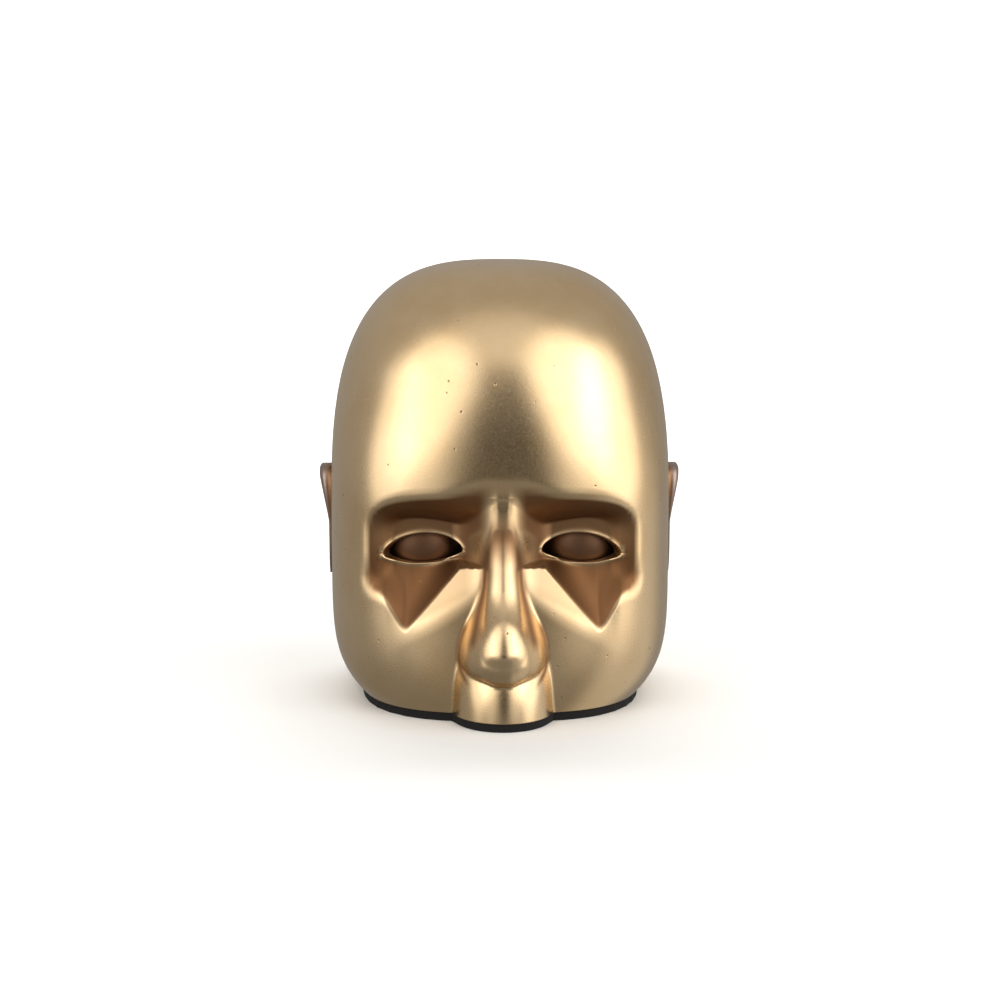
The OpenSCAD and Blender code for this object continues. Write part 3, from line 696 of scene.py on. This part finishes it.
def plain(name, colour, rough, metallic=0.0, scale=400.0, sheen=0.5):
    """Matt material with a fine uneven surface."""
    mat, tree, shader = node_tree(name)
    link = tree.links.new
    coords = tree.nodes.new("ShaderNodeTexCoord").outputs["Object"]
    shader.inputs["Metallic"].default_value = metallic
    shader.inputs["Specular IOR Level"].default_value = sheen
    noise = add(tree, "ShaderNodeTexNoise", Scale=scale, Detail=6.0, Roughness=0.65)
    link(coords, noise.inputs["Vector"])
    tint = tree.nodes.new("ShaderNodeValToRGB")
    tint.color_ramp.elements[0].color = (*(c * 0.7 for c in colour), 1)
    tint.color_ramp.elements[1].color = (*(min(c * 1.25, 1) for c in colour), 1)
    link(noise.outputs["Fac"], tint.inputs["Fac"])
    link(tint.outputs["Color"], shader.inputs["Base Color"])
    gloss = tree.nodes.new("ShaderNodeMapRange")
    gloss.inputs["To Min"].default_value = rough - 0.1
    gloss.inputs["To Max"].default_value = rough + 0.1
    link(noise.outputs["Fac"], gloss.inputs["Value"])
    link(gloss.outputs["Result"], shader.inputs["Roughness"])
    bump = add(tree, "ShaderNodeBump", Strength=0.4, Distance=0.0001)
    link(noise.outputs["Fac"], bump.inputs["Height"])
    link(bump.outputs["Normal"], shader.inputs["Normal"])
    return mat


MATERIALS = {
    "satin_brass": metal("satin_brass", (0.84, 0.62, 0.37), (0.76, 0.53, 0.28), 0.24),
    # The ears take a darker, rougher copy of the brass: painted shade that dims their reflections.
    "ear_brass": metal("ear_brass", (0.40, 0.30, 0.25), (0.31, 0.21, 0.16), 0.40),
    # The eye cups take a dark copy of the brass: painted shade inside the eye openings.
    "eye_bronze": metal("eye_bronze", (0.22, 0.12, 0.07), (0.17, 0.09, 0.05), 0.45, pits=0.1),
    "strip_brass": metal("strip_brass", (0.70, 0.52, 0.26), (0.58, 0.38, 0.16), 0.42),
    "weight_iron": plain("weight_iron", (0.12, 0.115, 0.11), 0.6, 0.9, 900.0),
    "plate_wood": plain("plate_wood", (0.06, 0.045, 0.035), 0.7, 0.0, 600.0),
    "screw_steel": plain("screw_steel", (0.55, 0.55, 0.56), 0.35, 1.0, 1500.0),
    "pad_rubber": plain("pad_rubber", (0.010, 0.0095, 0.009), 0.8, 0.0, 1200.0, sheen=0.25),
}
SLOT_OF = {part["node"]: part["material_slot"] for part in frame["record"]["subparts"]}


def dress(obj, slot):
    obj.data.materials.clear()
    obj.data.materials.append(MATERIALS[slot])


def stand_for(obj, node):
    """obj rides with the body, is shown in place of a CAD node and takes its material."""
    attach(obj, "root")
    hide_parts(node)
    dress(obj, SLOT_OF[node])


stand_for(build_face(), "face_shell")
stand_for(build_rear(), "rear_shell")
stand_for(build_ear("left_ear_casting", -1), "left_ear")
stand_for(build_ear("right_ear_casting", 1), "right_ear")
stand_for(build_eye("left_eye_cup", -1), "left_eye")
stand_for(build_eye("right_eye_cup", 1), "right_eye")
for node in ("seam_frame", "ballast", "base_plate", "frame_screws", "ballast_screws", "base_pad"):
    dress(frame["nodes"][node], SLOT_OF[node])

# ---- Stage, light and camera ----


def plane(name, size, place, turn, colour):
    bpy.ops.mesh.primitive_plane_add(size=size, location=place, rotation=turn)
    obj = bpy.context.object
    obj.name = name
    mat, tree, shader = node_tree(name)
    shader.inputs["Base Color"].default_value = (*colour, 1)
    shader.inputs["Roughness"].default_value = 0.9
    obj.data.materials.append(mat)
    return obj


def toward(azimuth, elevation):
    """Unit direction at the given angles in radians, where azimuth 0 is in front of the face."""
    flat_part = math.cos(elevation)
    return Vector((math.sin(azimuth) * flat_part, -math.cos(azimuth) * flat_part, math.sin(elevation)))


def softbox(name, azimuth, elevation, distance, width, height, power, aim):
    """Rectangular lamp that faces aim from the given side; azimuth 0 is in front of the face."""
    away = toward(math.radians(azimuth), math.radians(elevation))
    lamp = bpy.data.lights.new(name, "AREA")
    lamp.shape = "RECTANGLE"
    lamp.size = width
    lamp.size_y = height
    lamp.energy = power
    obj = bpy.data.objects.new(name, lamp)
    obj.location = aim + away * distance
    obj.rotation_euler = away.to_track_quat("Z", "Y").to_euler()
    bpy.context.scene.collection.objects.link(obj)
    return obj


centre = Vector((0, 0, HEAD_H / 2 * MM))
floor = plane("floor", 6, (0, 0, 0), (0, 0, 0), (0.93, 0.93, 0.92))
backdrop = plane("backdrop", 6, (0, 1.6, 0), (math.pi / 2, 0, 0), (0.95, 0.95, 0.95))
floor.visible_glossy = False
backdrop.visible_glossy = False

# Soft round panels of the studio: azimuth and elevation, inner and outer radius in degrees, brightness
PANELS = [
    (-46, 31, 10, 34, 1.35),
    (48, 32, 14, 36, 1.5),
    (-36, 3, 2, 26, 0.5),
    (36, 3, 2, 26, 0.5),
    (-70, 12, 10, 30, 1.2),
    (76, 14, 16, 34, 1.4),
    (0, 55, 5, 40, 0.35),
    (95, -28, 20, 50, 0.35),
]
# Dark places where the camera and its operator stand: azimuth and elevation, inner and outer radius
SHADES = [(3, 34, 1, 14), (4, 18, 4, 19), (3, 2, 5, 19)]
SHADE_DEPTH = 0.85
ROOM_TOP, ROOM_LOW = 0.44, 0.22


def studio_world():
    """Grey room with bright soft panels on both sides and a dark place in front."""
    world = bpy.data.worlds.new("studio")
    world.use_nodes = True
    tree = world.node_tree
    link = tree.links.new
    direction = tree.nodes.new("ShaderNodeTexCoord").outputs["Generated"]

    def spot(azimuth, elevation, inner, outer, centre_value, edge_value):
        dot = tree.nodes.new("ShaderNodeVectorMath")
        dot.operation = "DOT_PRODUCT"
        link(direction, dot.inputs[0])
        dot.inputs[1].default_value = toward(math.radians(azimuth), math.radians(elevation))
        fall = tree.nodes.new("ShaderNodeMapRange")
        fall.interpolation_type = "SMOOTHSTEP"
        fall.inputs["From Min"].default_value = math.cos(math.radians(outer))
        fall.inputs["From Max"].default_value = math.cos(math.radians(inner))
        fall.inputs["To Min"].default_value = edge_value
        fall.inputs["To Max"].default_value = centre_value
        link(dot.outputs["Value"], fall.inputs["Value"])
        return fall.outputs["Result"]

    def combine(kind, a, b):
        node = tree.nodes.new("ShaderNodeMath")
        node.operation = kind
        link(a, node.inputs[0])
        link(b, node.inputs[1])
        return node.outputs["Value"]

    level = spot(0, 90, 0, 180, ROOM_TOP, ROOM_LOW)
    for azimuth, elevation, inner, outer, bright in PANELS:
        level = combine("ADD", level, spot(azimuth, elevation, inner, outer, bright, 0))
    for azimuth, elevation, inner, outer in SHADES:
        level = combine("MULTIPLY", level, spot(azimuth, elevation, inner, outer, 1 - SHADE_DEPTH, 1))
    tree.nodes["Background"].inputs["Color"].default_value = (1, 0.99, 0.965, 1)
    link(level, tree.nodes["Background"].inputs["Strength"])
    return world


back_light = softbox("back_light", 0, 60, 1.2, 1.5, 0.5, 16, Vector((0, 1.5, 0.4)))
back_light.visible_glossy = False
bpy.context.scene.world = studio_world()

CAMERA_D = 0.650
CAMERA_UP = math.radians(8)
CAMERA_YAW = math.radians(-1.0)
AIM_DROP = 0.0057
camera = bpy.data.objects.new("camera", bpy.data.cameras.new("camera"))
camera.data.sensor_width = 36
camera.data.lens = 95.8
camera.location = centre + CAMERA_D * toward(CAMERA_YAW, CAMERA_UP)
aim = centre - Vector((0, 0, AIM_DROP))
camera.rotation_euler = (camera.location - aim).to_track_quat("Z", "Y").to_euler()
camera.data.clip_start = 0.01
bpy.context.scene.collection.objects.link(camera)
bpy.context.scene.camera = camera
bpy.context.scene.view_settings.view_transform = "Standard"
